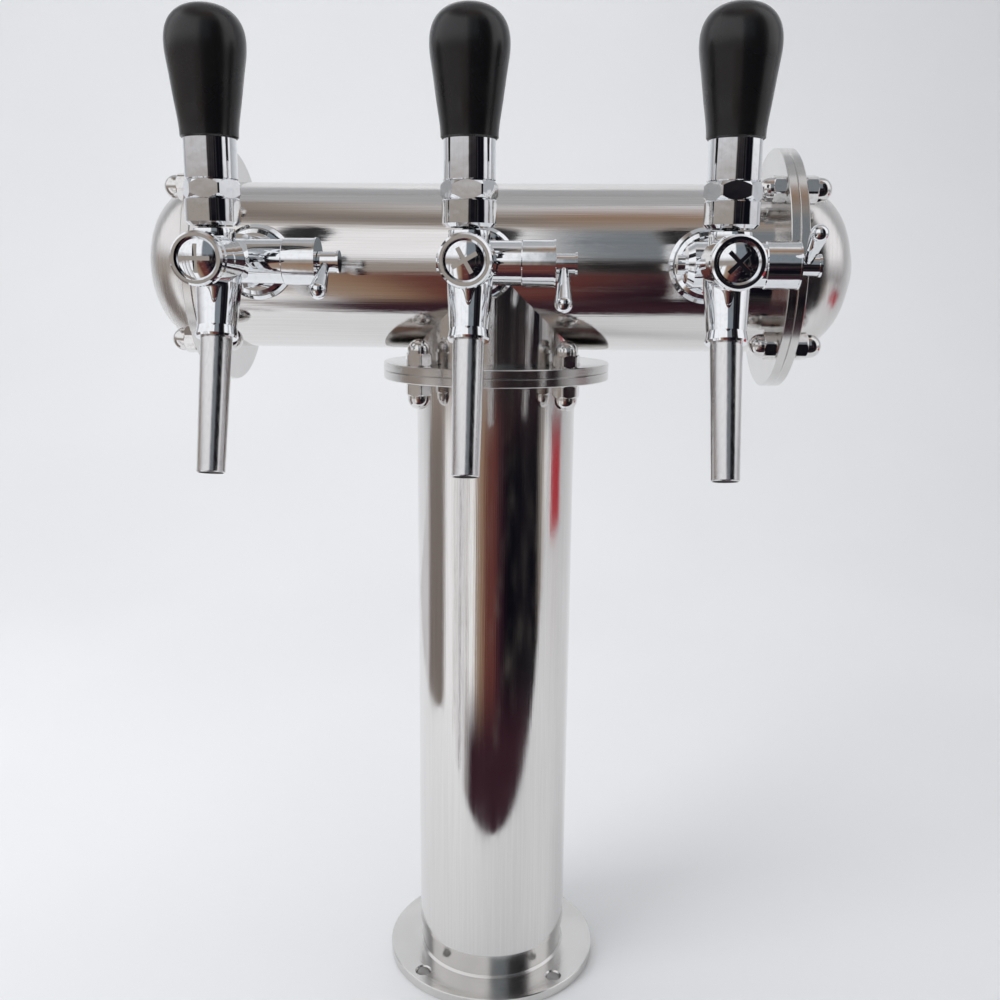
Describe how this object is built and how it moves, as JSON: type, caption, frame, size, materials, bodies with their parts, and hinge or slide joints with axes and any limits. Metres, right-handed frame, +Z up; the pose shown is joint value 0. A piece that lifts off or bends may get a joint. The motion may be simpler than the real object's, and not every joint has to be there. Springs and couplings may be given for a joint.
{
  "type": "beer tap tower",
  "caption": "T-shaped beer tap tower: bolted round base, steel column, flanged cross tube with dished ends, chrome taps with black knob handles and side flow controls.",
  "frame": {"origin": "centre of the base flange's underside, on the column's axis", "axes": "+Z up along the column, +X along the cross tube to the right seen from the front, the taps face -Y"},
  "size_m": [0.3818, 0.2051, 0.5275],
  "materials": {
    "tube_steel": "mirror-polished stainless steel",
    "flange_steel": "machined and polished stainless steel",
    "fastener_steel": "polished stainless steel",
    "tap_chrome": "polished chrome",
    "spout_steel": "fine-drawn stainless steel",
    "knob_black": "glossy black",
    "rubber_black": "matt rubber",
    "valve_plastic": "moulded acetal"
  },
  "bodies": {
    "tower": {"ball_retainers": "tap_chrome", "base_collar": "flange_steel", "base_flange": "flange_steel", "column_flange": "flange_steel", "column_tube": "tube_steel", "cross_flange_left": "flange_steel", "cross_flange_right": "flange_steel", "cross_tube": "tube_steel", "end_cap_left": "tube_steel", "end_cap_right": "tube_steel", "end_flange_left": "flange_steel", "end_flange_right": "flange_steel", "escutcheons": "tap_chrome", "flange_cap_nuts": "fastener_steel", "flange_studs": "fastener_steel", "flow_caps": "tap_chrome", "front_plugs": "tap_chrome", "front_rings": "tap_chrome", "line_stems": "spout_steel", "shank_nuts": "fastener_steel", "shank_washers": "rubber_black", "shanks": "tap_chrome", "spouts": "spout_steel", "stem_nuts": "fastener_steel", "stub_flange": "flange_steel", "tap_body_centre": "tap_chrome", "tap_body_left": "tap_chrome", "tap_body_right": "tap_chrome", "tee_stub": "tube_steel"},
    "handle_left": {"lever_stem_left": "spout_steel", "skirt_left": "tap_chrome", "lock_nut_left": "tap_chrome", "ferrule_left": "tap_chrome", "knob_left": "knob_black"},
    "valve_left": {"valve_shaft_left": "spout_steel", "valve_seal_left": "rubber_black"},
    "flow_control_left": {"flow_shaft_left": "tap_chrome", "flow_lever_left": "tap_chrome"},
    "compensator_left": {"flow_cone_left": "valve_plastic"},
    "handle_centre": {"lever_stem_centre": "spout_steel", "skirt_centre": "tap_chrome", "lock_nut_centre": "tap_chrome", "ferrule_centre": "tap_chrome", "knob_centre": "knob_black"},
    "valve_centre": {"valve_shaft_centre": "spout_steel", "valve_seal_centre": "rubber_black"},
    "flow_control_centre": {"flow_shaft_centre": "tap_chrome", "flow_lever_centre": "tap_chrome"},
    "compensator_centre": {"flow_cone_centre": "valve_plastic"},
    "handle_right": {"lever_stem_right": "spout_steel", "skirt_right": "tap_chrome", "lock_nut_right": "tap_chrome", "ferrule_right": "tap_chrome", "knob_right": "knob_black"},
    "valve_right": {"valve_shaft_right": "spout_steel", "valve_seal_right": "rubber_black"},
    "flow_control_right": {"flow_shaft_right": "tap_chrome", "flow_lever_right": "tap_chrome"},
    "compensator_right": {"flow_cone_right": "valve_plastic"}
  },
  "joints": [
    {"name": "handle_hinge_left", "type": "hinge", "parent": "tower", "child": "handle_left", "pos_m": [-0.1215, -0.114, 0.4315], "axis": [1, 0, 0], "range_deg": [0, 22]},
    {"name": "valve_slide_left", "type": "slide", "parent": "tower", "child": "valve_left", "axis": [0, 1, 0], "range_m": [0, 0.0044]},
    {"name": "flow_hinge_left", "type": "hinge", "parent": "tower", "child": "flow_control_left", "pos_m": [-0.1215, -0.0765, 0.4202], "axis": [1, 0, 0], "range_deg": [-93, 27]},
    {"name": "cone_slide_left", "type": "slide", "parent": "tower", "child": "compensator_left", "axis": [0, 1, 0], "range_m": [-0.0006, 0.00202]},
    {"name": "handle_hinge_centre", "type": "hinge", "parent": "tower", "child": "handle_centre", "pos_m": [-0.0065, -0.114, 0.4315], "axis": [1, 0, 0], "range_deg": [0, 22]},
    {"name": "valve_slide_centre", "type": "slide", "parent": "tower", "child": "valve_centre", "axis": [0, 1, 0], "range_m": [0, 0.0044]},
    {"name": "flow_hinge_centre", "type": "hinge", "parent": "tower", "child": "flow_control_centre", "pos_m": [-0.0065, -0.0765, 0.4202], "axis": [1, 0, 0], "range_deg": [-110, 10]},
    {"name": "cone_slide_centre", "type": "slide", "parent": "tower", "child": "compensator_centre", "axis": [0, 1, 0], "range_m": [-0.00023, 0.00239]},
    {"name": "handle_hinge_right", "type": "hinge", "parent": "tower", "child": "handle_right", "pos_m": [0.1085, -0.114, 0.4315], "axis": [1, 0, 0], "range_deg": [0, 22]},
    {"name": "valve_slide_right", "type": "slide", "parent": "tower", "child": "valve_right", "axis": [0, 1, 0], "range_m": [0, 0.0044]},
    {"name": "flow_hinge_right", "type": "hinge", "parent": "tower", "child": "flow_control_right", "pos_m": [0.1085, -0.0765, 0.4202], "axis": [1, 0, 0], "range_deg": [-26, 94]},
    {"name": "cone_slide_right", "type": "slide", "parent": "tower", "child": "compensator_right", "axis": [0, 1, 0], "range_m": [-0.00204, 0.00057]}
  ],
  "couplings": [
    {"joint": "valve_slide_left", "follows": "handle_hinge_left", "m_per_rad": 0.011024},
    {"joint": "cone_slide_left", "follows": "flow_hinge_left", "m_per_rad": -0.00124},
    {"joint": "valve_slide_centre", "follows": "handle_hinge_centre", "m_per_rad": 0.011024},
    {"joint": "cone_slide_centre", "follows": "flow_hinge_centre", "m_per_rad": -0.00124},
    {"joint": "valve_slide_right", "follows": "handle_hinge_right", "m_per_rad": 0.011024},
    {"joint": "cone_slide_right", "follows": "flow_hinge_right", "m_per_rad": -0.00124}
  ]
}
